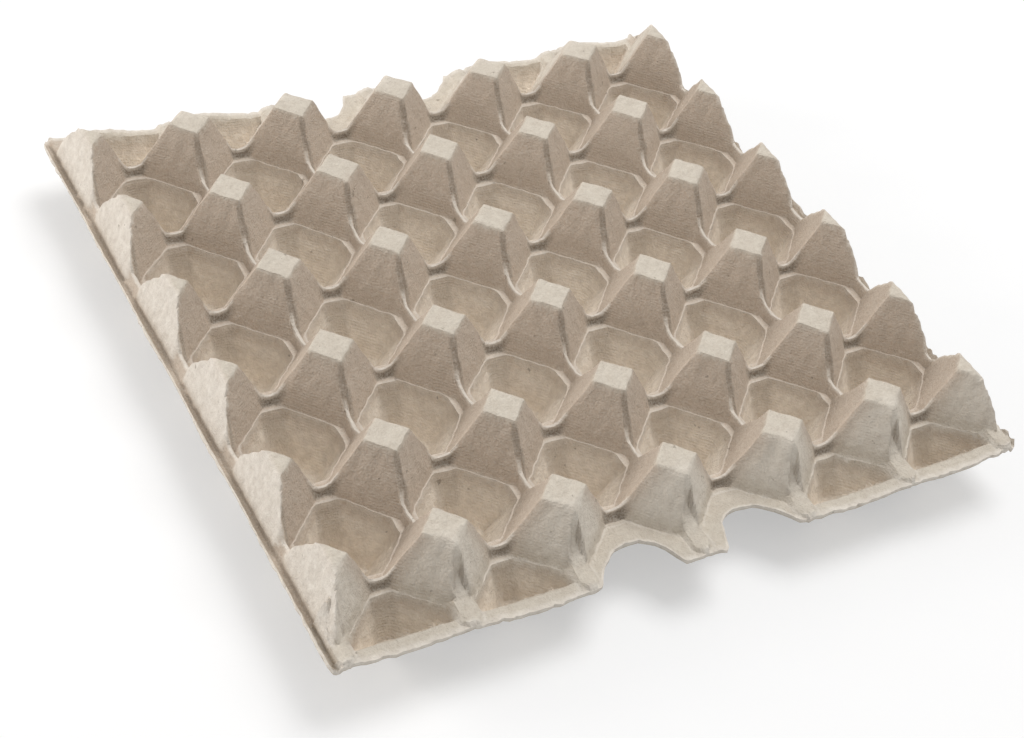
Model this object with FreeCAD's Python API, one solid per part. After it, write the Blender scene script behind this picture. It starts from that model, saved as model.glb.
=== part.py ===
import FreeCAD, Part
import math
import os

# One moulded pulp tray for thirty eggs: six cells along X by five cells along Y.
# Z is up. The origin is on the floor, below the centre of the tray. Sizes are in millimetres.

# Sheet, and heights above the floor
wall = 2.0
tray_height = 47.0
flange_top = 25.4

# Outline of the rim
tray_length = 296.0
tray_width = 298.0
corner_radius = 6.0

# Grid of posts: seven along X, six along Y. The outer gaps along Y are narrower than the inner ones.
columns = 7
column_pitch = 47.0
row_pitch = 48.5
outer_row_pitch = 45.2
row_half_gaps = [0.5 * row_pitch, 1.5 * row_pitch, 1.5 * row_pitch + outer_row_pitch]

# A post is a pyramid with a diamond plan and a flat top: half diagonals at the top and at the foot
post_top = 8.4
post_foot = 21.8

# The two outer columns are cut by a plane that leans in: its place at the foot and at the top of a post
side_cut_foot = 144.0
side_cut_top = 137.9

# A cell is an eight-sided cup. Its long sides clear the feet of the posts, its short sides face a saddle.
mouth_gap = 22.6
saddle_half_width = 4.7
cup_slope = 3.5

# A low rib runs from post to post over each saddle. It is higher in the outer columns.
rib_height = 3.2
rib_top_half = 1.0
rib_foot_half = 2.2
edge_rib_height = 6.4

# The rib goes on over the rim as a flatter tongue, up to this far from the edge
tongue_height = 1.4
tongue_top_half = 2.2
tongue_foot_half = 3.9
tongue_margin = 2.5

# Open recesses outside the front and back rows end this far inside the edge, in a gentler wall
recess_margin = 5.6
recess_slope = 1.6

# Finger notches, two in the front rim and two in the back rim
notch_centre = 24.2
notch_radius = 12.5
notch_depth = 16.8
notch_half_mouth = 16.2

# How far solids run into each other where they are joined or cut
overlap = 1.0

column_x = [(i - (columns - 1) / 2) * column_pitch for i in range(columns)]
row_y = [-y for y in reversed(row_half_gaps)] + row_half_gaps
side_run = (side_cut_foot - side_cut_top) / (tray_height - flange_top)
post_fall = (tray_height - flange_top) / (post_foot - post_top)


def solid_between(low, z_low, high, z_high):
    """Solid with flat sides from a polygon at z_low to one with as many corners at z_high."""
    lower = [FreeCAD.Vector(x, y, z_low) for x, y in low]
    upper = [FreeCAD.Vector(x, y, z_high) for x, y in high]
    loops = [lower, upper]
    for k in range(len(low)):
        n = (k + 1) % len(low)
        loops.append([lower[k], lower[n], upper[n], upper[k]])
    faces = [Part.Face(Part.makePolygon(loop + loop[:1])) for loop in loops]
    return Part.makeSolid(Part.makeShell(faces))


def prism_along(profile, axis, start, end):
    """Profile of (side, z) points swept along axis from start to end."""
    if axis == "X":
        points = [FreeCAD.Vector(start, side, z) for side, z in profile]
        sweep = FreeCAD.Vector(end - start, 0, 0)
    else:
        points = [FreeCAD.Vector(side, start, z) for side, z in profile]
        sweep = FreeCAD.Vector(0, end - start, 0)
    return Part.Face(Part.makePolygon(points + points[:1])).extrude(sweep)


def post_section(x, y, z, depth):
    """Diamond of a post at height z, at the given depth below the outer skin."""
    steepness = math.sqrt(2) * post_fall
    half = post_top + (tray_height - z - depth * math.sqrt(1 + steepness**2)) / post_fall
    return [(x + half, y), (x, y + half), (x - half, y), (x, y - half)]


def post(x, y, depth):
    top = tray_height - depth
    foot = flange_top - depth
    skirt = post_section(x, y, foot, depth)
    pyramid = solid_between(skirt, foot, post_section(x, y, top, depth), top)
    body = pyramid.fuse(solid_between(skirt, foot - overlap, skirt, foot))
    if abs(x) < column_x[-1]:
        return body
    z_low = foot - 2 * overlap
    z_high = tray_height + overlap
    far = side_cut_foot + 2 * post_foot
    plane = [side_cut_foot - (z - flange_top) * side_run - depth * math.sqrt(1 + side_run**2)
             for z in (z_low, z_high)]
    side = math.copysign(1, x)
    wedge = [(side * plane[0], z_low), (side * far, z_low), (side * far, z_high), (side * plane[1], z_high)]
    return body.cut(prism_along(wedge, "Y", y - 2 * post_foot, y + 2 * post_foot))


def cup_section(x, y, half_x, half_y, z, depth):
    """Octagon of a cell at height z, at the given depth behind the inside of the cup wall."""
    shrink = (flange_top - z - depth * math.sqrt(1 + cup_slope**2)) / cup_slope
    a = half_x - saddle_half_width - shrink
    b = half_y - saddle_half_width - shrink
    total = half_x + half_y - mouth_gap - shrink * math.sqrt(2)
    corners = [(a, total - a), (total - b, b), (b - total, b), (-a, total - a),
               (-a, a - total), (b - total, -b), (total - b, -b), (a, a - total)]
    return [(x + dx, y + dy) for dx, dy in corners]


def cup(x, y, half_x, half_y, depth):
    z_low = wall - depth - (overlap if depth else 0)
    z_high = flange_top - depth + overlap
    return solid_between(cup_section(x, y, half_x, half_y, z_low, depth), z_low,
                         cup_section(x, y, half_x, half_y, z_high, depth), z_high)


def recess(x, side, depth):
    """Cup outside an outer row, ended by a sloping wall just inside the rim."""
    half_x = column_pitch / 2
    half_y = outer_row_pitch / 2
    body = cup(x, side * (row_half_gaps[-1] + half_y), half_x, half_y, depth)
    z_low = -2 * overlap
    z_high = flange_top + 2 * overlap
    edge = tray_width / 2 - recess_margin
    drop = flange_top - depth * math.sqrt(1 + recess_slope**2)
    plane = [edge - (drop - z) / recess_slope for z in (z_low, z_high)]
    far = tray_width
    beyond = [(side * plane[0], z_low), (side * far, z_low), (side * far, z_high), (side * plane[1], z_high)]
    return body.cut(prism_along(beyond, "X", x - column_pitch, x + column_pitch))


def cells(depth):
    """Every cell, then the recesses at the two outer bays at each end of the front and back."""
    found = []
    for i in range(columns - 1):
        x = (column_x[i] + column_x[i + 1]) / 2
        for j in range(len(row_y) - 1):
            y = (row_y[j] + row_y[j + 1]) / 2
            found.append(cup(x, y, column_pitch / 2, (row_y[j + 1] - row_y[j]) / 2, depth))
        if abs(x) > column_pitch:
            found += [recess(x, side, depth) for side in (-1, 1)]
    return found


def posts(depth):
    return [post(x, y, depth) for x in column_x for y in row_y]


def ribs():
    rib = [(-rib_foot_half, flange_top - overlap), (-rib_foot_half, flange_top),
           (-rib_top_half, flange_top + rib_height), (rib_top_half, flange_top + rib_height),
           (rib_foot_half, flange_top), (rib_foot_half, flange_top - overlap)]
    tongue = [(-tongue_foot_half, flange_top - overlap), (-tongue_foot_half, flange_top),
              (-tongue_top_half, flange_top + tongue_height), (tongue_top_half, flange_top + tongue_height),
              (tongue_foot_half, flange_top), (tongue_foot_half, flange_top - overlap)]
    edge_top = flange_top + edge_rib_height
    lean = side_cut_foot - column_x[-1]
    edge_rib = [(-rib_foot_half, flange_top - overlap), (-rib_foot_half, flange_top), (-rib_top_half, edge_top),
                (lean - edge_rib_height * side_run, edge_top), (lean, flange_top), (lean, flange_top - overlap)]
    reach = tray_width / 2 - tongue_margin
    found = [prism_along([(y + s, z) for s, z in rib], "X", column_x[0], column_x[-1]) for y in row_y]
    for x in column_x:
        if x in (column_x[0], column_x[-1]):
            side = math.copysign(1, x)
            found.append(prism_along([(x + side * s, z) for s, z in edge_rib], "Y", row_y[0], row_y[-1]))
        else:
            found.append(prism_along([(x + s, z) for s, z in rib], "Y", row_y[0], row_y[-1]))
        for side in (-1, 1):
            found.append(prism_along([(x + s, z) for s, z in tongue], "Y", side * row_y[-1], side * reach))
    return found


def slab(z_low, z_high, margin):
    box = Part.makeBox(tray_length + 2 * margin, tray_width + 2 * margin, z_high - z_low,
                       FreeCAD.Vector(-tray_length / 2 - margin, -tray_width / 2 - margin, z_low))
    if margin:
        return box
    upright = [edge for edge in box.Edges if edge.BoundBox.ZLength > 0.5 * (z_high - z_low)]
    return box.makeFillet(corner_radius, upright)


def notch(x, side):
    """Finger notch: a round end, then straight sides that open towards the edge of the rim."""
    edge = tray_width / 2
    centre = edge - notch_depth + notch_radius
    far = edge + notch_radius
    spread = notch_half_mouth + (notch_half_mouth - notch_radius) * (far - edge) / (edge - centre)
    z = -overlap
    left = FreeCAD.Vector(x - notch_radius, side * centre, z)
    middle = FreeCAD.Vector(x, side * (centre - notch_radius), z)
    right = FreeCAD.Vector(x + notch_radius, side * centre, z)
    outer = [right, FreeCAD.Vector(x + spread, side * far, z), FreeCAD.Vector(x - spread, side * far, z), left]
    wire = Part.Wire([Part.Arc(left, middle, right).toShape(), *Part.makePolygon(outer).Edges])
    return Part.Face(wire).extrude(FreeCAD.Vector(0, 0, tray_height))


# Solid under the upper skin of the sheet
outside = slab(0, flange_top, 0).cut(cells(0)).fuse(ribs() + posts(0))

# Space under the lower skin
inside = slab(-overlap, flange_top - wall, overlap).cut(cells(wall)).fuse(posts(wall))

notches = [notch(x, side) for x in (-notch_centre, notch_centre) for side in (-1, 1)]
egg_tray = outside.cut(inside).cut(notches).removeSplitter()

os.makedirs("parts", exist_ok=True)
egg_tray.exportStep("parts/egg_tray.step")
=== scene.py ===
import math

import bpy
import numpy as np
from mathutils import Matrix, Vector


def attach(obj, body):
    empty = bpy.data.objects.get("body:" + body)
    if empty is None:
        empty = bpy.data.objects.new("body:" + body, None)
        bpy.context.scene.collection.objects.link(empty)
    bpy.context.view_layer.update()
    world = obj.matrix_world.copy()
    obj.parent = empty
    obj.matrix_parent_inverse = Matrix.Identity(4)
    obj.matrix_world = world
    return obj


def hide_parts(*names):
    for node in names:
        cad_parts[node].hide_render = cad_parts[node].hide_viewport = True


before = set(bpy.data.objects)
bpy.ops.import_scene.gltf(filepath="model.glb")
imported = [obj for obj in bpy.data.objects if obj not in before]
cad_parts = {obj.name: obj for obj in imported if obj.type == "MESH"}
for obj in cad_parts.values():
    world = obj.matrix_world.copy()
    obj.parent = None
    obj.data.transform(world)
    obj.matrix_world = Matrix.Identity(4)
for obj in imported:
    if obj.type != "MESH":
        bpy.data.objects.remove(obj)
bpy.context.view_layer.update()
mm = 0.001


# The tray: one sheet of moulded paper pulp, about 2 mm thick, with seven by six hollow posts round
# thirty eight-sided cups. It was sucked out of wet pulp onto a wire form and dried, so every edge is
# soft, the sheet is a little uneven, and the rim keeps a torn, feathery edge.
column_pitch = 47.0
row_places = np.array([-117.95, -72.75, -24.25, 24.25, 72.75, 117.95])
outer_row = row_places[-1]
outer_column = 3 * column_pitch
sheet = 2.0
post_peak = 47.0
flange_level = 25.4
mouth_level = 23.8
edge_lift = 3.2
post_top = 8.4
wide_top = 10.0
post_fall = 1.612
post_foot = 22.8
arris_flat = 1.6
cup_fall = 3.5
mouth_gap = 23.5
ledge_half = 4.7
side_foot = 143.4
side_run = 0.282
front_flange = 7.0
back_flange = 3.4
recess_fall = 1.6
inner_half_gap = 24.25
outer_half_gap = 22.6
side_half_gap = 23.5
gutter_depth = 2.0
gutter_lip = 0.6
tongue_end = 142.6
tongue_round = 3.8


def soft_max(a, b, width):
    """The larger of a and b, with the corner between them filled by an arc that is width high."""
    near = np.maximum(width - np.abs(a - b), 0) / width
    return np.maximum(a, b) + near * near * width / 4


def soft_min(a, b, width):
    """The smaller of a and b, with the corner between them rounded off."""
    return -soft_max(-a, -b, width)


def ramp(value, start, end):
    """Nought before start, one after end, and an S between."""
    t = np.clip((value - start) / (end - start), 0, 1)
    return t * t * (3 - 2 * t)


def ripple(x, y, seed, length):
    """Uneven waves between about -1 and 1: five sine waves in drawn directions, averaged."""
    draw = np.random.default_rng(seed)
    total = 0
    for _ in range(5):
        turn = draw.uniform(0, 2 * math.pi)
        wave = length * draw.uniform(0.7, 1.5)
        phase = draw.uniform(0, 2 * math.pi)
        total = total + np.sin((x * math.cos(turn) + y * math.sin(turn)) * 2 * math.pi / wave + phase)
    return total / 2.6


def post_draws(seed):
    """One number from -1 to 1 for each post, columns by rows."""
    return np.random.default_rng(seed).uniform(-1, 1, (7, 6))


rim_x = 148.0
rim_y = 148.95
corner_round = 7.5
notch_centre = 24.2
notch_depth = 16.4
notch_outer_half = 18.5
notch_inner_half = 14.8


def rim_line(x, side):
    """Distance of the front (side -1) or back (side 1) rim from the middle.

    A wavy line with two finger notches. The back rim also draws in once a bay, by a cosine of the
    pitch, and the front rim does so by a little.
    """
    place = 0 * x + 300 * side
    torn = 0.3 * ripple(x, place, 32, 5) + 0.2 * ripple(x, place, 35, 2.6)
    bays = 0.5 * np.cos((x - side_half_gap) * 2 * math.pi / column_pitch) * (side < 0)
    wavy = rim_y - 1.2 + 0.6 * ripple(x, place, 31, 70) + torn + bays
    droop = 2.3 * (1 - np.cos((x + 124) * 2 * math.pi / column_pitch)) * (side > 0)
    off = np.abs(x) - notch_centre
    outer = 1 - (np.clip(off, 0, None) / notch_outer_half) ** 2.2
    inner = 1 - (np.clip(-off, 0, None) / notch_inner_half) ** 3.0
    notch = notch_depth * np.where(off > 0, outer, inner)
    cut_in = np.maximum(soft_max(notch, 0 * notch, 2.5), droop * ramp(rim_x - np.abs(x), 0, 12))
    return np.minimum(wavy - cut_in, rim_y)


def tongue_half(dy):
    """Half the width of a tongue: narrow up in the flute, and 3 mm wider on the rim."""
    return 0.5 + 3.0 * ramp(dy, 10, 20)


def skin(x, y, depth):
    """Height of the sheet at each (x, y): its upper face at depth 0, its under face at depth sheet.

    The posts are planes that fall with |dx| + |dy| from the nearest post, cut off flat at the top.
    The cups are planes that fall with the distance inside an eight-sided mouth. The higher of post
    and cup is kept, and each plane is lowered by depth along its own normal. Ribs are then laid over
    the saddles, on the upper face alone. Last, the middle of the tray sags: what stands above the
    cups sinks by a parabola of x.
    """
    column = np.clip(np.round(x / column_pitch), -3, 3)
    row = np.abs(y[..., None] - row_places).argmin(-1)
    rel_x = x - column * column_pitch
    rel_y = y - row_places[row]
    dx, dy = np.abs(rel_x), np.abs(rel_y)
    ax, ay = np.abs(x), np.abs(y)
    along, across = np.maximum(dx, dy), np.minimum(dx, dy)
    post = (column.astype(int) + 3, row)
    beyond_front = ay > outer_row
    beyond_side = ax > outer_column

    # Posts: four faces, a flute down the front and back corners, a flat top. A plane cuts the outer columns.
    last = np.abs(column) == 3
    outward = ramp(rel_y * np.sign(y), 0, 6) * (row % 5 == 0)
    top_half = np.where(last, wide_top, post_top)
    fall = np.where(last, post_fall * (post_foot - post_top) / (post_foot - wide_top), post_fall)
    fluted = (dy > dx) & ~last
    flat = arris_flat + 2.0 * outward * ramp(dy, 10, 19)
    flat = flat * ramp(along, top_half + 0.5, top_half + 3.0) * fluted
    depth_in = 0.7 + 4.2 * outward * ramp(dy, 9.0, 11.5)
    hollow = depth_in * ramp(flat, 0, arris_flat) * np.maximum(1 - (across / np.maximum(flat, 0.1)) ** 2, 0)
    softness = np.where((dy < dx) & (rel_x < 0), 1.7, 0.3 + 0.7 * outward)
    reach = along + soft_max(across, flat, softness) + hollow
    faces = post_peak - fall * (reach - top_half) - depth * math.sqrt(1 + 2 * post_fall ** 2)
    tilt = 0.03 * (post_draws(1)[post] * rel_x + post_draws(2)[post] * rel_y)
    peak = np.minimum(post_peak - 0.75 + 0.25 * post_draws(3)[post] + tilt, post_peak) - depth
    posts = soft_min(faces, peak, 0.35 + 2.8 * outward)
    wall = flange_level + (side_foot - ax) / side_run - depth * math.sqrt(1 + side_run ** -2)
    posts = soft_min(posts, wall, 0.6)

    # Cups, and the open recesses outside the front and back rows.
    level = mouth_level + (flange_level - mouth_level) * np.maximum(ramp(ay, 124, 142), ramp(ax, 141.5, 144))
    inside = soft_min(dx - ledge_half, dy - ledge_half, 1.0)
    inside = soft_min(inside, (dx + dy - mouth_gap) / math.sqrt(2), 0.6)
    recess_end = np.where(y > 0, rim_line(x, 1) - back_flange, rim_y - front_flange)
    inside = np.where(beyond_front, soft_min(inside, (recess_end - ay) * recess_fall / cup_fall, 0.5), inside)
    closed = beyond_side | (beyond_front & (ax < column_pitch))
    inside = np.where(closed, -3.0, inside)
    cups = level - cup_fall * inside - depth * math.sqrt(1 + cup_fall ** 2)
    cups = soft_max(cups, np.full_like(cups, sheet - depth), 12.0)
    gutter = ramp(ax, 143.2, 144.3) * (1 - ramp(ax, 145.6, 147.0))
    ledge = level - depth - gutter_depth * gutter + gutter_lip * ramp(ax, 145.8, 147.4)
    base = soft_min(cups, ledge, 0.2)
    shape = soft_max(base, posts, 0.2)
    sag = edge_lift * (1 - np.minimum(ax / outer_column, 1) ** 2)
    if depth:
        return np.maximum(shape - sag * np.clip((shape - sheet) / 18, 0, 1), 0)

    # Ribs from post to post, which dip in the middle.
    row_half_gap = np.where(ay > row_places[-2], outer_half_gap, inner_half_gap)
    half_gap = np.where(dx < dy, row_half_gap, side_half_gap)
    climb = np.clip(half_gap - along, 0, 11)
    crest = np.where(dx < dy, 28.0 + 0.0063 * climb ** 3, 26.9 + 0.075 * climb ** 2)
    half_rib = np.where(dx < dy, 0.3 + 0.5 * ramp(along, 15, 22), 0.6)
    rib = soft_min(crest, crest - 3.6 * (across - half_rib), 0.3)
    rib = soft_min(rib, wall, 0.6)

    # Beyond the front and back posts each rib goes on as a broad tongue in the flute, and ends short of the rim.
    spine = 27.1 + 0.0035 * np.clip(24 - dy, 0, 14.5) ** 3
    round_end = np.clip(1 - (np.maximum(ay - tongue_end, 0) / tongue_round) ** 2, 0.01, 1)
    half_tongue = tongue_half(dy) * np.sqrt(round_end)
    tongue = spine - 0.12 * dx - 2.6 * np.maximum(dx - half_tongue, 0) - 2.0 * np.maximum(ay - 146.0, 0)
    tongue = np.where((dy > 9) & ~(last & (y > 0)), tongue, 0)
    rib = np.where(beyond_front & (dx < dy), tongue, rib)
    rib = np.where(beyond_front & (dx >= dy), np.where(dy < 4, rib, 0), rib)
    rib = np.where(beyond_side & ((dx >= dy) | (ax > 144.5)), 0, rib)
    shape = soft_max(shape, rib, 0.3) + 0.1 * ripple(x, y, 21, 9) + 0.15 * ripple(x, y, 22, 25) - 0.2
    return shape - sag * np.clip((shape - sheet) / 18, 0, 1)


def half_bay(length):
    """Places of the mesh lines from a post to the middle of a bay: close at the rib, wider in the cup."""
    near = [0, 0.5, 1.0, 1.5, 2.05, 3.2, 4.7, 5.7, 6.6, 7.5]
    middle = [8.5 + 1.05 * k for k in range(10)]
    rest = length - middle[-1]
    return np.array(near + middle + [middle[-1] + rest * k / 3 for k in (1, 2)])


def lines_between(places, margin):
    """Mesh lines over every bay, mirrored about each post, with the lines of margin outside the last post."""
    found = [places[0] - np.array(margin[::-1])]
    for low, high in zip(places[:-1], places[1:]):
        half = (high - low) / 2
        steps = half_bay(half)
        found += [low + steps, [low + half], high - steps[:0:-1]]
    found += [[places[-1]], places[-1] + np.array(margin)]
    return np.concatenate(found)


side_margin = [0.5, 1.0, 1.5, 2.05, 2.9, 3.7, 4.5, 5.5, 6.4, 7.0]
strip = list(half_bay(outer_half_gap))[1:20] + [19.9, 21.8, 23.6, 25.4, 26.8, 28.3, 29.7, 31.05]
x_lines = lines_between(np.arange(-3, 4) * column_pitch, side_margin)
y_lines = lines_between(row_places, strip)


def snapped(x, y):
    """Slides grid points on to the edge of the nearest post's flat top, its foot, and the cup's mouth.

    These lines run at a constant |dx| + |dy|. That sum is bent so that the nearest points fall on
    them, and the change is shared between dx and dy by their fourth powers, so that a point by a rib
    slides along it.
    """
    rel_x = x - np.clip(np.round(x / column_pitch), -3, 3) * column_pitch
    rel_y = y - row_places[np.abs(y[..., None] - row_places).argmin(-1)]
    dx, dy = np.abs(rel_x), np.abs(rel_y)
    total = dx + dy
    shift = 0 * total
    last = np.abs(x) >= 2.5 * column_pitch
    for top_half, here in ((post_top, ~last), (wide_top, last)):
        edge = top_half + 0.45
        knots = [edge - 2.1, edge - 0.52, edge + 0.52, edge + 2.1, 19.5, 22.05, 23.10, 23.12, 24.15, 26.2]
        places = [edge - 2.1, edge, edge, edge + 2.1, 19.5, post_foot, post_foot, mouth_gap, mouth_gap, 26.2]
        moved = here & (total > knots[0]) & (total < knots[-1]) & (np.abs(x) <= outer_column)
        shift = np.where(moved, np.interp(total, knots, places) - total, shift)
    share = dx ** 4 / (dx ** 4 + dy ** 4 + 1e-9)
    return x + np.sign(rel_x) * shift * share, y + np.sign(rel_y) * shift * (1 - share)


def plan(x, y):
    """Moves the grid so that its edge follows the rim.

    The lines beyond the outer posts are stretched in proportion, and the corners are rounded.
    """
    edge = np.where(y > 0, rim_line(x, 1), rim_line(x, -1))
    part = (np.abs(y) - outer_row) / (149.0 - outer_row)
    new_y = np.where(part > 0, np.sign(y) * (outer_row + np.maximum(part, 0) * (edge - outer_row)), y)
    place = 0 * y + 300 * np.sign(x)
    torn = 0.3 * ripple(y, place, 34, 5) + 0.2 * ripple(y, place, 36, 2.6)
    side_wave = np.minimum(-1.0 + 0.9 * ripple(y, place, 33, 60) + torn, 0)
    new_x = x + np.sign(x) * side_wave * np.clip((np.abs(x) - outer_column - 3) / 4.0, 0, 1)
    a = np.clip((np.abs(new_x) - rim_x + corner_round) / corner_round, 0, 1)
    b = np.clip((np.abs(new_y) - rim_y + corner_round) / corner_round, 0, 1)
    new_x = new_x - np.sign(x) * corner_round * a * (1 - np.sqrt(1 - b * b / 2))
    new_y = new_y - np.sign(y) * corner_round * b * (1 - np.sqrt(1 - a * a / 2))
    return new_x, new_y


def grid_faces(x, y, first, flip):
    """Two triangles a square, cut along the diagonal that runs level across the nearest post's face."""
    rows, cols = x.shape
    number = first + np.arange(rows * cols).reshape(rows, cols)
    a, b, c, d = number[:-1, :-1], number[:-1, 1:], number[1:, 1:], number[1:, :-1]
    mid_x = (x[:-1, :-1] + x[1:, 1:]) / 2
    mid_y = (y[:-1, :-1] + y[1:, 1:]) / 2
    rel_x = mid_x - np.clip(np.round(mid_x / column_pitch), -3, 3) * column_pitch
    rel_y = mid_y - row_places[np.abs(mid_y[..., None] - row_places).argmin(-1)]
    level = (rel_x * rel_y > 0)[..., None]
    one = np.where(level, np.stack([a, b, d], -1), np.stack([a, b, c], -1))
    two = np.where(level, np.stack([b, c, d], -1), np.stack([a, c, d], -1))
    faces = np.concatenate([one.reshape(-1, 3), two.reshape(-1, 3)])
    return faces[:, ::-1] if flip else faces


def ring(rows, cols, first):
    """Numbers of the points round the edge of a grid, counterclockwise seen from above."""
    number = first + np.arange(rows * cols).reshape(rows, cols)
    return np.concatenate([number[0, :-1], number[:-1, -1], number[-1, :0:-1], number[:0:-1, 0]])


ideal_x, ideal_y = plan(*snapped(*np.meshgrid(x_lines, y_lines)))
top_z = skin(ideal_x, ideal_y, 0)
under_z = skin(ideal_x[::2, ::2], ideal_y[::2, ::2], sheet)
wander_x = 0.4 * ripple(ideal_x, ideal_y, 11, 60) + 0.2 * ripple(ideal_x, ideal_y, 13, 6)
wander_y = 0.4 * ripple(ideal_x, ideal_y, 12, 60) + 0.2 * ripple(ideal_x, ideal_y, 14, 6)
top_x = ideal_x + wander_x * ramp(rim_x - np.abs(ideal_x), 0, 8)
top_y = ideal_y + wander_y * ramp(rim_y - np.abs(ideal_y), 0, 8)
under_x, under_y = top_x[::2, ::2], top_y[::2, ::2]
top_points = np.stack([top_x, top_y, top_z], -1).reshape(-1, 3)
under_points = np.stack([under_x, under_y, under_z], -1).reshape(-1, 3)
top_ring = ring(*top_x.shape, 0)
under_ring = ring(*under_x.shape, len(top_points))
edge_points = top_points[top_ring].copy()
edge_points[:, 2] -= sheet / 2
edge_ring = np.arange(len(edge_points)) + len(top_points) + len(under_points)
next_top, next_edge = np.roll(top_ring, -1), np.roll(edge_ring, -1)
even, odd, then = edge_ring[::2], edge_ring[1::2], np.roll(edge_ring[::2], -1)
next_under = np.roll(under_ring, -1)
tray_points = np.concatenate([top_points, under_points, edge_points])
tray_faces = np.concatenate([
    grid_faces(top_x, top_y, 0, False),
    grid_faces(under_x, under_y, len(top_points), True),
    np.stack([top_ring, edge_ring, next_edge], -1),
    np.stack([top_ring, next_edge, next_top], -1),
    np.stack([even, under_ring, odd], -1),
    np.stack([odd, under_ring, next_under], -1),
    np.stack([odd, next_under, then], -1),
])


def mesh_from(name, points, faces):
    """A smooth mesh object from rows of points and rows of triangles."""
    mesh = bpy.data.meshes.new(name)
    mesh.vertices.add(len(points))
    mesh.vertices.foreach_set("co", (points * mm).ravel())
    mesh.loops.add(faces.size)
    mesh.loops.foreach_set("vertex_index", faces.ravel())
    mesh.polygons.add(len(faces))
    mesh.polygons.foreach_set("loop_start", np.arange(0, faces.size, 3))
    mesh.polygons.foreach_set("use_smooth", np.ones(len(faces), dtype=bool))
    mesh.update(calc_edges=True)
    mesh.validate()
    piece = bpy.data.objects.new(name, mesh)
    bpy.context.collection.objects.link(piece)
    return piece


class Value:
    """A socket that adds its own Math node when it is added or multiplied, from either side."""

    def __init__(self, tree, socket):
        self.tree = tree
        self.socket = socket

    def math(self, operation, *others):
        return node(self.tree, "ShaderNodeMath", {"operation": operation}, [self, *others])

    def __add__(self, other):
        return self.math("ADD", other)

    def __mul__(self, other):
        return self.math("MULTIPLY", other)

    __radd__ = __add__
    __rmul__ = __mul__


def node(tree, kind, settings, inputs, output=0):
    """Adds one node, sets its settings, then its inputs by order or by name, and gives back one output."""
    made = tree.nodes.new(kind)
    for key, setting in settings.items():
        setattr(made, key, setting)
    for key, given in (inputs.items() if isinstance(inputs, dict) else enumerate(inputs)):
        if isinstance(given, Value):
            tree.links.new(given.socket, made.inputs[key])
        else:
            made.inputs[key].default_value = given
    return Value(tree, made.outputs[output])


def grey(level):
    return (level, level, level, 1)


def pulp_material():
    """Dry grey-beige pulp: mottled, with paler fibres, a few dark specks, and the marks of the wire form.
    Painted light and painted shade are laid over it by height and by point marks.
    """
    material = bpy.data.materials.new("pulp")
    material.use_nodes = True
    tree = material.node_tree
    shader = tree.nodes["Principled BSDF"]
    place = node(tree, "ShaderNodeTexCoord", {}, [], "Object")
    height = node(tree, "ShaderNodeSeparateXYZ", {}, [place], 2)

    def noise(scale, detail, rough=0.55):
        inputs = {"Vector": place, "Scale": scale, "Detail": detail, "Roughness": rough}
        return node(tree, "ShaderNodeTexNoise", {}, inputs)

    def span(value, low, high):
        return node(tree, "ShaderNodeMapRange", {"clamp": True}, [value, low, high, 0.0, 1.0])

    def blend(amount, first, second):
        return node(tree, "ShaderNodeMix", {"data_type": "RGBA"}, {0: amount, 6: first, 7: second}, 2)

    outside = node(tree, "ShaderNodeAttribute", {"attribute_name": "outside"}, [], "Fac")
    painted_highlight = node(tree, "ShaderNodeAttribute", {"attribute_name": "painted_highlight"}, [], "Fac")
    dark = node(tree, "ShaderNodeAttribute", {"attribute_name": "dark"}, [], "Fac")
    # Painted light: low is the share of a pale yellow colour that lightens the cups towards their floors, in
    # place of the light that reaches into them.
    low = span(height, 0.0225, 0.016)
    patches = span(noise(30, 3), 0.35, 0.7)
    cup_light_mottle = span(noise(55, 3), 0.45, 0.75)
    fibres = span(noise(1300, 3, 0.7), 0.32, 0.68)
    blotches = span(noise(330, 3, 0.6), 0.35, 0.65)
    specks = span(noise(260, 2), 0.72, 0.75)
    colour = blend(patches * 0.5, (0.57, 0.46, 0.365, 1), (0.52, 0.42, 0.335, 1))
    # Painted light in the cups, made a little uneven by noise.
    colour = blend(low * (0.75 + cup_light_mottle * 0.25), colour, (0.95, 0.86, 0.74, 1))
    # Painted light: the outside colour, paler and greyer, goes on the post tops, the open sides, the cut faces,
    # the underside and the rim edge, which catch more light; the browner colour kept inside the cells is painted
    # shade.
    colour = blend(outside, colour, (0.66, 0.595, 0.50, 1))
    # Painted shade: the dark mark blends in a near-black brown where shade falls.
    colour = blend(dark, colour, (0.19, 0.145, 0.105, 1))
    # Painted highlight: a pale colour on the edges and crests that catch the light.
    colour = blend(painted_highlight, colour, (0.86, 0.80, 0.72, 1))
    colour = blend(blotches * 0.35, colour, (0.42, 0.345, 0.27, 1))
    colour = blend(fibres * 0.45, colour, (0.80, 0.74, 0.65, 1))
    colour = blend(specks * 0.5, colour, (0.20, 0.16, 0.12, 1))
    tree.links.new(colour.socket, shader.inputs["Base Color"])
    shader.inputs["Roughness"].default_value = 0.92
    shader.inputs["Specular IOR Level"].default_value = 0.15
    wires = (height * 6000).math("SINE") * span(noise(60, 2), 0.4, 0.6)
    grain = noise(1300, 3, 0.6) * 0.7 + noise(420, 4, 0.6) * 1.2 + wires * 0.07
    felt = node(tree, "ShaderNodeBump", {}, {"Strength": 1.0, "Distance": 0.0006, "Height": grain})
    tree.links.new(felt.socket, shader.inputs["Normal"])
    return material


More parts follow.
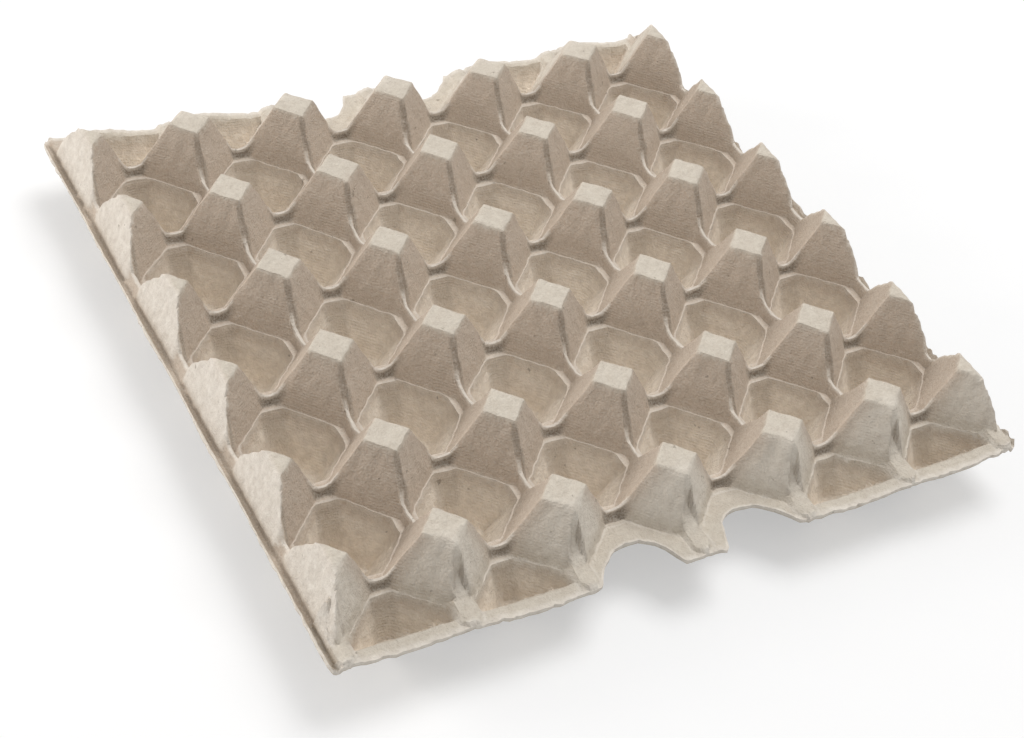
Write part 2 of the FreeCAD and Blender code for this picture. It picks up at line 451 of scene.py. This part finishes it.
def shade_marks(x, y, z):
    """Three numbers from 0 to 1 at each point: how much it is outside the cells, which takes a pale colour as
    painted light, how much painted highlight it takes, and how much painted shade.

    Each is the largest of a few bands, which are set by the place from the nearest post and the height.
    """
    column = np.clip(np.round(x / column_pitch), -3, 3)
    row = np.abs(y[..., None] - row_places).argmin(-1)
    rel_x = x - column * column_pitch
    rel_y = y - row_places[row]
    dx, dy = np.abs(rel_x), np.abs(rel_y)
    along, across = np.maximum(dx, dy), np.minimum(dx, dy)
    ax, ay = np.abs(x), np.abs(y)
    beyond_front = ay > outer_row
    high = z + edge_lift * (1 - np.minimum(ax / outer_column, 1) ** 2)
    open_side = ramp(ay, outer_row - 1, outer_row + 7)
    open_side = np.maximum(open_side, ramp(ax, outer_column - 3, outer_column - 1))
    on_cut = ramp(ax - (side_foot - (z - flange_level) * side_run), -0.9, -0.5) * ramp(z, 25.6, 26.4)
    on_cut = on_cut * (1 - ramp(dx + dy, 22.5, 23.5))
    # Painted light: outside is the share of the pale colour, on the post tops above 44.8 mm, on the open sides
    # and on the outer cut faces.
    outside = np.maximum(ramp(high, 44.8, 45.8), open_side * ramp(high, 20, 25))
    strip_side = (ax > outer_column - 3) & ((ay < outer_row + 8) | (y > 0))
    outside = np.where(strip_side, np.maximum(on_cut, 0.2), outside)
    # Painted highlight: pale lines along the cup mouths and ledges, on the rib crests, on the cut faces, on the
    # high parts outside the front and back rows, and on the rim edge.
    mouth = (np.abs(dx + dy - mouth_gap) < 0.5) & (across > ledge_half - 1)
    straight = (np.abs(across - ledge_half) < 0.4) & (along > mouth_gap - ledge_half - 0.6)
    crest = (across < 0.6) & (along > np.where(dx < dy, 15.5, 17)) & ~(beyond_front & (dx < dy))
    line = np.where((rel_x < 0) & (rel_y > 0), 0.3, 0.6)
    painted_highlight = np.maximum((mouth | straight) * line * (high > 22.5) * (ax < outer_column), crest * 0.75)
    painted_highlight = np.maximum(painted_highlight, np.maximum(on_cut * 0.85, 0.35 * open_side * beyond_front * ramp(high, 26, 30)))
    for edge, amount in ((0, 1.0), (1, 0.7), (-1, 1.0), (-2, 0.7)):
        painted_highlight[edge] = np.maximum(painted_highlight[edge], amount)
        painted_highlight[:, edge] = np.maximum(painted_highlight[:, edge], amount)
    # Painted shade: the bands below darken the front flutes, the faces under the saddle lips, the shaded sides
    # of ribs and tongues, the short cup walls and the side gutter, and dim the lamp-lit back-left faces.
    upper = ramp(along, 8.9, 9.6) * (1 - ramp(along, 14.5, 16.5))
    flute = (across < 1.3) * upper * (dy > dx) * (ax < outer_column - 4) * ~beyond_front
    lip_fade = np.where(rel_x > 0, ramp(along, 17.5, 19), ramp(along, 15.5, 21))
    under_lip = (across > 0.8) * (across < 3.0) * lip_fade * (dx > dy) * (rel_y < 0)
    right_side = (across > 1.2) & (across < 2.3) & (along > 13) & (along < 22) & (dx < dy) & (rel_x > 0)
    notch_side = (np.abs(dx - tongue_half(dy) - 0.6) < 0.6) & (dy > 11) & (dy < 20.5) & beyond_front
    short_wall = (dx > mouth_gap - ledge_half) * (dx > dy) * ramp(dy, 4.7, 5.7) * (rel_y < 0) * ramp(high, 3, 16)
    gutter = ramp(ax, 142.9, 143.8) * (1 - ramp(ax, 145.8, 146.8)) * (1 - on_cut)
    back_left = (rel_x < 0) * (rel_y > 0) * ramp(across, 0.8, 2.5) * (1 - outside) * (dx + dy < mouth_gap)
    dark = np.maximum(flute * 0.5, np.maximum(under_lip, right_side * 0.55) * ~(beyond_front & (dx < dy)))
    dark = np.maximum(dark, notch_side * np.where(rel_x > 0, 0.7, 0.35) * (z > 22))
    dark = np.maximum(dark, np.maximum(short_wall * (high < 23.4) * 0.3, gutter * 0.2))
    dark = np.maximum(dark, back_left * 0.22)
    return outside, painted_highlight, dark


tray = mesh_from("moulded_tray", tray_points, tray_faces)
# Point marks for the material: the pale outside colour and the painted highlight are painted light, and the dark
# mark is painted shade.
marks = shade_marks(ideal_x, ideal_y, top_z)
# The underside takes the pale outside colour, which is painted light; the cut edge of the sheet takes that
# colour and the full painted highlight.
under_marks = (1.0, 0.0, 0.0)
edge_marks = (1.0, 1.0, 0.0)
for label, mark, under_mark, edge_mark in zip(("outside", "painted_highlight", "dark"), marks, under_marks, edge_marks):
    layer = tray.data.attributes.new(label, "FLOAT", "POINT")
    rest = [np.full(len(under_points), under_mark), np.full(len(edge_points), edge_mark)]
    layer.data.foreach_set("value", np.concatenate([mark.ravel(), *rest]))
tray.data.set_sharp_from_angle(angle=math.radians(36))
tray.data.materials.append(pulp_material())
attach(tray, "root")
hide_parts("egg_tray")


# The floor: a plain sheet of white paper, 6 m square, that takes the tray's soft shadow. Where it is
# seen by eye it glows a little, so that it comes out white and the shadow stays light.
floor_half = 3.0
floor_corners = [(a * floor_half, b * floor_half, 0) for a, b in ((-1, -1), (1, -1), (1, 1), (-1, 1))]
floor_mesh = bpy.data.meshes.new("floor")
floor_mesh.from_pydata(floor_corners, [], [(0, 1, 2, 3)])
floor = bpy.data.objects.new("floor", floor_mesh)
bpy.context.collection.objects.link(floor)
white = bpy.data.materials.new("white_floor")
white.use_nodes = True
white_tree = white.node_tree
white_tree.nodes.clear()


def seen_rays(tree):
    """One for rays from the camera, and for those that gloss or glass would show; nought for the rest."""
    kinds = ("Camera", "Glossy", "Transmission")
    rays = [node(tree, "ShaderNodeLightPath", {}, [], "Is " + kind + " Ray") for kind in kinds]
    return rays[0].math("MAXIMUM", rays[1]).math("MAXIMUM", rays[2])


paper = node(white_tree, "ShaderNodeBsdfDiffuse", {}, {"Color": grey(0.86)})
shown = node(white_tree, "ShaderNodeBsdfDiffuse", {}, {"Color": grey(0.58)})
lift = node(white_tree, "ShaderNodeEmission", {}, {"Color": grey(1), "Strength": 0.43})
lifted = node(white_tree, "ShaderNodeAddShader", {}, [shown, lift])
both = node(white_tree, "ShaderNodeMixShader", {}, [seen_rays(white_tree), paper, lifted])
output = white_tree.nodes.new("ShaderNodeOutputMaterial")
white_tree.links.new(both.socket, output.inputs["Surface"])
floor_mesh.materials.append(white)


# Light: a white room, a soft lamp low on the left and behind, and a broader one high above on the right.
# Both are square diffusers turned towards the middle of the tray.
world = bpy.data.worlds.new("room")
bpy.context.scene.world = world
world.use_nodes = True
room = world.node_tree
room.nodes.clear()
dim = node(room, "ShaderNodeBackground", {}, {"Color": grey(1), "Strength": 0.42})
bright = node(room, "ShaderNodeBackground", {}, {"Color": grey(1), "Strength": 1.0})
mixed = node(room, "ShaderNodeMixShader", {}, [seen_rays(room), dim, bright])
room_output = room.nodes.new("ShaderNodeOutputWorld")
room.links.new(mixed.socket, room_output.inputs["Surface"])


def soft_lamp(name, place, size, watts, colour):
    """A square lamp at place, facing the middle of the tray."""
    lamp = bpy.data.lights.new(name, "AREA")
    lamp.shape = "SQUARE"
    lamp.size = size
    lamp.energy = watts
    lamp.color = colour
    holder = bpy.data.objects.new(name, lamp)
    holder.location = place
    holder.rotation_euler = Vector(place).to_track_quat("Z", "Y").to_euler()
    bpy.context.collection.objects.link(holder)


soft_lamp("left_lamp", (-1.40, 0.75, 0.48), 0.6, 12, (1.0, 0.965, 0.94))
soft_lamp("top_lamp", (0.65, 0.35, 1.9), 1.2, 24, (1.0, 1.0, 1.0))


# The camera: it looks down from beyond the front left corner, with its place and turn fitted to the tops of
# the posts. The focal length is 1872 pixels of a picture 1024 pixels wide.
view_yaw = math.radians(-126.26)
view_tilt = math.radians(42.78)
view_roll = math.radians(11.65)
view_target = Vector((-0.0356, -0.0579, 0.0438))
view_distance = 0.6919
level_back = Vector((math.cos(view_yaw), math.sin(view_yaw), 0))
back = math.cos(view_tilt) * level_back + Vector((0, 0, math.sin(view_tilt)))
right = Vector((-math.sin(view_yaw), math.cos(view_yaw), 0))
up = back.cross(right)
camera_right = math.cos(view_roll) * right + math.sin(view_roll) * up
camera_up = math.cos(view_roll) * up - math.sin(view_roll) * right
lens = bpy.data.cameras.new("photo_camera")
lens.sensor_fit = "HORIZONTAL"
lens.sensor_width = 36
lens.lens = 1872 / 1024 * lens.sensor_width
lens.clip_start = 0.05
camera = bpy.data.objects.new("photo_camera", lens)
turn = Matrix((camera_right, camera_up, back)).transposed().to_4x4()
camera.matrix_world = Matrix.Translation(view_target + view_distance * back) @ turn
bpy.context.collection.objects.link(camera)
bpy.context.scene.camera = camera
bpy.context.scene.view_settings.view_transform = "Standard"
